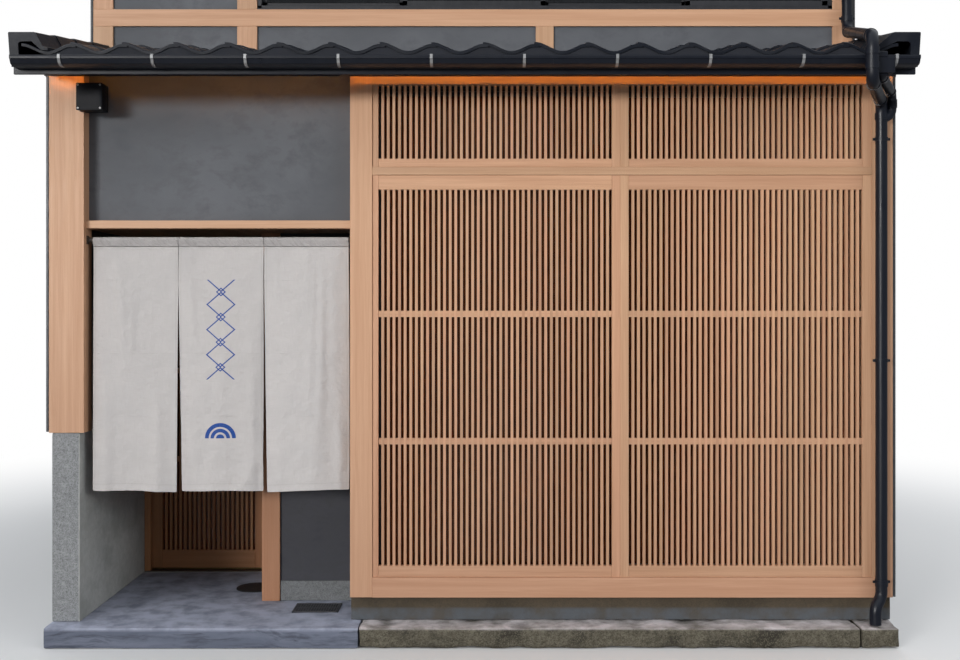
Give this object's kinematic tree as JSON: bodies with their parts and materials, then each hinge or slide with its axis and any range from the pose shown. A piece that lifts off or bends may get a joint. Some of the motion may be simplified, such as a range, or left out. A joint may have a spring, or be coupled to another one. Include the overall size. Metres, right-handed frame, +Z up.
{
  "type": "machiya townhouse",
  "caption": "Narrow two-storey timber townhouse with a lattice bay, a recessed entrance behind a cloth curtain, a sliding door and tiled roofs.",
  "frame": {"origin": "on the ground under the middle of the front face, in the underside of the front kerb", "axes": "+X along the street to the right as seen from the street, +Y into the house, +Z up"},
  "size_m": [4.626, 7.699, 6.7131],
  "materials": {
    "concrete": "plain cast concrete",
    "mortar": "trowelled bluish grey mortar",
    "old_concrete": "weathered mossy concrete",
    "base_render": "grey render",
    "stone_render": "speckled grey green aggregate render",
    "cedar": "new planed cedar, oiled",
    "lattice_cedar": "new planed cedar lattice",
    "plaster": "trowelled grey plaster",
    "dark_plaster": "trowelled charcoal plaster",
    "ceiling_boards": "plain ceiling boards",
    "glass": "clear window glass",
    "dark_metal": "dark stained pole and brackets",
    "cloth": "unbleached hemp cloth",
    "eave_timber": "eave boards and rafters",
    "roof_tile": "black semi-gloss wave tile",
    "black_sheet": "black semi-gloss gutter and pipe",
    "galvanised": "galvanised strap",
    "floor_boards": "floor boards",
    "black_sash": "black aluminium sash",
    "siding": "grey metal siding"
  },
  "bodies": {
    "house": {"ground_slab": "concrete", "entry_step": "mortar", "front_kerb": "old_concrete", "base_walls": "base_render", "low_wall": "stone_render", "front_posts": "cedar", "junction_box": "black_sheet", "lattice_frame": "cedar", "lattice_upper_left": "lattice_cedar", "lattice_upper_right": "lattice_cedar", "lattice_lower_left": "lattice_cedar", "lattice_lower_right": "lattice_cedar", "entry_panel": "plaster", "entry_lintel": "cedar", "inner_post": "cedar", "entry_side_panel": "dark_plaster", "porch_side_wall": "dark_plaster", "alcove_side_wall": "dark_plaster", "door_wall": "dark_plaster", "porch_ceiling": "ceiling_boards", "door_frame": "cedar", "curtain_pole": "dark_metal", "curtain_left": "cloth", "curtain_middle": "cloth", "curtain_right": "cloth", "pent_rafters": "eave_timber", "pent_deck": "eave_timber", "pent_tiles": "roof_tile", "pent_verges": "roof_tile", "gutters": "black_sheet", "gutter_hangers": "galvanised", "downpipes": "black_sheet", "upper_front_frame": "cedar", "upper_plaster": "plaster", "upper_floor": "floor_boards", "window_frames": "black_sash", "window_glass": "glass", "party_wall_left": "siding", "party_wall_right": "siding", "back_frame": "cedar", "back_wall": "plaster", "roof_frame": "eave_timber", "main_roof_deck": "eave_timber", "main_roof_tiles": "roof_tile", "main_verges": "roof_tile", "main_ridge": "roof_tile"},
    "sliding_door": {"entrance_door": "lattice_cedar", "entrance_door_glass": "glass"}
  },
  "joints": [
    {"name": "door_slide", "type": "slide", "parent": "house", "child": "sliding_door", "axis": [1, 0, 0], "range_m": [0, 0.7]}
  ]
}
